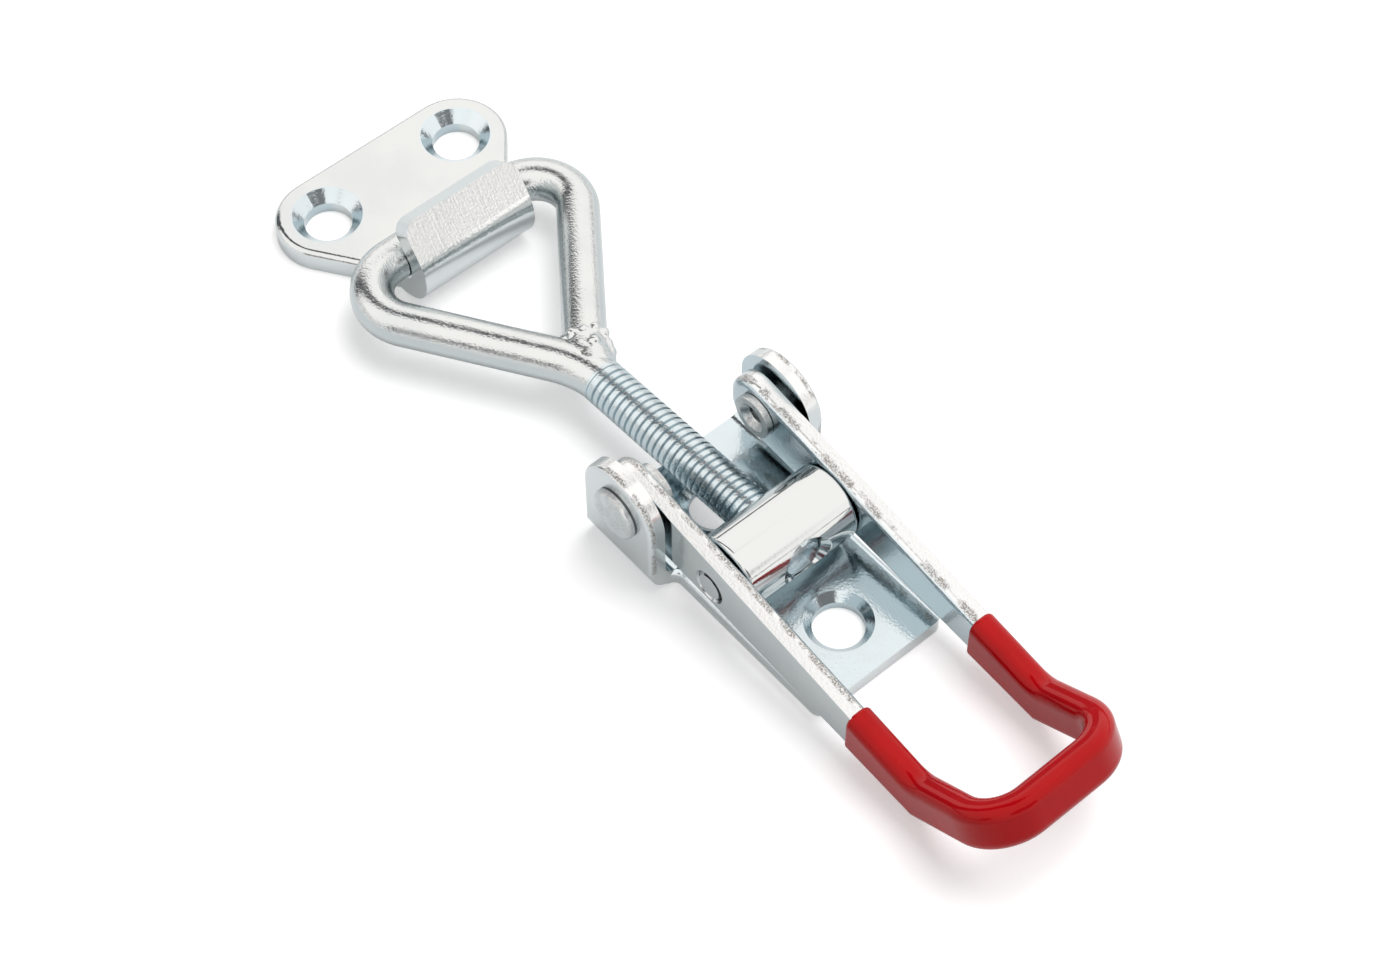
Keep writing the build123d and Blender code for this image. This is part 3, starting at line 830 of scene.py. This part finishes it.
def studio_world(scene):
    """White air for the camera; for the metal, soft boxes parted by a dark gap overhead, with
    dark places between them and a dark line of wall low round the table."""
    world = bpy.data.worlds.new("studio")
    scene.world = world
    world.use_nodes = True
    tree = world.node_tree
    tree.nodes.clear()
    out = add_node(tree, "ShaderNodeOutputWorld", (900, 0))
    sky = add_node(tree, "ShaderNodeBackground", (500, -100), Strength=BOX_STRENGTH)
    white = add_node(tree, "ShaderNodeBackground", (500, 100))
    white.inputs["Color"].default_value = WHITE
    mix = add_node(tree, "ShaderNodeMixShader", (700, 0))
    path = add_node(tree, "ShaderNodeLightPath", (500, 300))
    where = add_node(tree, "ShaderNodeTexCoord", (-1100, 0))
    split = add_node(tree, "ShaderNodeSeparateXYZ", (-900, 0))
    link(tree, where, "Generated", split, "Vector")
    east, high = split.outputs["X"], split.outputs["Z"]
    # soft boxes, brighter with height
    ramp = add_node(tree, "ShaderNodeValToRGB", (-400, 200))
    tree.links.new(high, ramp.inputs["Fac"])
    for stop, (position, colour) in zip(ramp.color_ramp.elements, BOX_COLOURS):
        stop.position, stop.color = position, colour
    # a dark line of wall above the table, thinner on the grip's side
    width = ramp_of(tree, east, 0.2, 0.7, 0.045, 0.014, place=(-700, 500))
    middle = ramp_of(tree, east, 0.2, 0.7, 0.155, 0.215, place=(-850, 400))
    height = absolute(tree, sum_of(
        tree, "SUBTRACT", high, middle, place=(-700, 350)), place=(-550, 350))
    wall = sum_of(tree, "LESS_THAN", height, width, place=(-400, 450))
    # the gap overhead, on the catch's side
    apart = absolute(
        tree, leaning(tree, where, DARK_GAP_ACROSS, (-900, -250)), place=(-700, -250))
    edge = ramp_of(tree, apart, 0.14, 0.22, 0.95, 0.0, place=(-500, -250))
    side = ramp_of(tree, east, -0.20, -0.06, 1.0, 0.0, place=(-500, -500))
    gap = sum_of(tree, "MULTIPLY", edge, side, place=(-300, -350))
    gap = sum_of(tree, "MAXIMUM", gap, sum_of(
        tree, "MULTIPLY", wall, 0.9, place=(-200, 450)), place=(-100, -350))
    # dark places between the boxes in front
    for index, (direction, full, faded) in enumerate(DARK_SPOTS):
        down = -700 - 200 * index
        spot = ramp_of(
            tree, leaning(tree, where, direction, (-900, down)), faded, full, 0.0, 0.85,
            place=(-700, down))
        gap = sum_of(tree, "MAXIMUM", gap, spot, place=(0, -500 - 150 * index))
    dark = mix_of(tree, gap, ramp.outputs["Color"], DARK_AIR, (200, 0))
    tree.links.new(dark, sky.inputs["Color"])
    air = add_node(tree, "ShaderNodeBackground", (500, -300), Strength=AIR_STRENGTH)
    air.inputs["Color"].default_value = WHITE
    lit = add_node(tree, "ShaderNodeMixShader", (700, -200))
    tree.links.new(path.outputs["Is Glossy Ray"], lit.inputs[0])
    tree.links.new(air.outputs[0], lit.inputs[1])
    tree.links.new(sky.outputs[0], lit.inputs[2])
    tree.links.new(path.outputs["Is Camera Ray"], mix.inputs[0])
    tree.links.new(lit.outputs[0], mix.inputs[1])
    tree.links.new(white.outputs[0], mix.inputs[2])
    link(tree, mix, 0, out, "Surface")


class LATCH_PT_panel(bpy.types.Panel):
    bl_idname = "LATCH_PT_panel"
    bl_label = "Toggle latch"
    bl_space_type = "VIEW_3D"
    bl_region_type = "UI"
    bl_category = "Latch"

    def draw(self, context):
        for piece in OPERATORS:
            self.layout.operator(piece.bl_idname)
        for group in (context.scene.bail_sizes, context.scene.latch_finishes,
                      context.scene.latch_studio):
            for name in group.__annotations__:
                self.layout.prop(group, name)


OPERATORS = (
    LATCH_OT_sheet_metal, LATCH_OT_turned_metal, LATCH_OT_grip, LATCH_OT_draw_bail,
    LATCH_OT_stage)
CLASSES = (BailSizes, Finishes, Studio, *OPERATORS, LATCH_PT_panel)


def register():
    for item in CLASSES:
        bpy.utils.register_class(item)
    bpy.types.Scene.bail_sizes = bpy.props.PointerProperty(type=BailSizes)
    bpy.types.Scene.latch_finishes = bpy.props.PointerProperty(type=Finishes)
    bpy.types.Scene.latch_studio = bpy.props.PointerProperty(type=Studio)


def unregister():
    del bpy.types.Scene.bail_sizes
    del bpy.types.Scene.latch_finishes
    del bpy.types.Scene.latch_studio
    for item in reversed(CLASSES):
        bpy.utils.unregister_class(item)


def main():
    register()
    for piece in OPERATORS:
        group, name = piece.bl_idname.split(".")
        getattr(getattr(bpy.ops, group), name)()


if __name__ == "__main__":
    main()
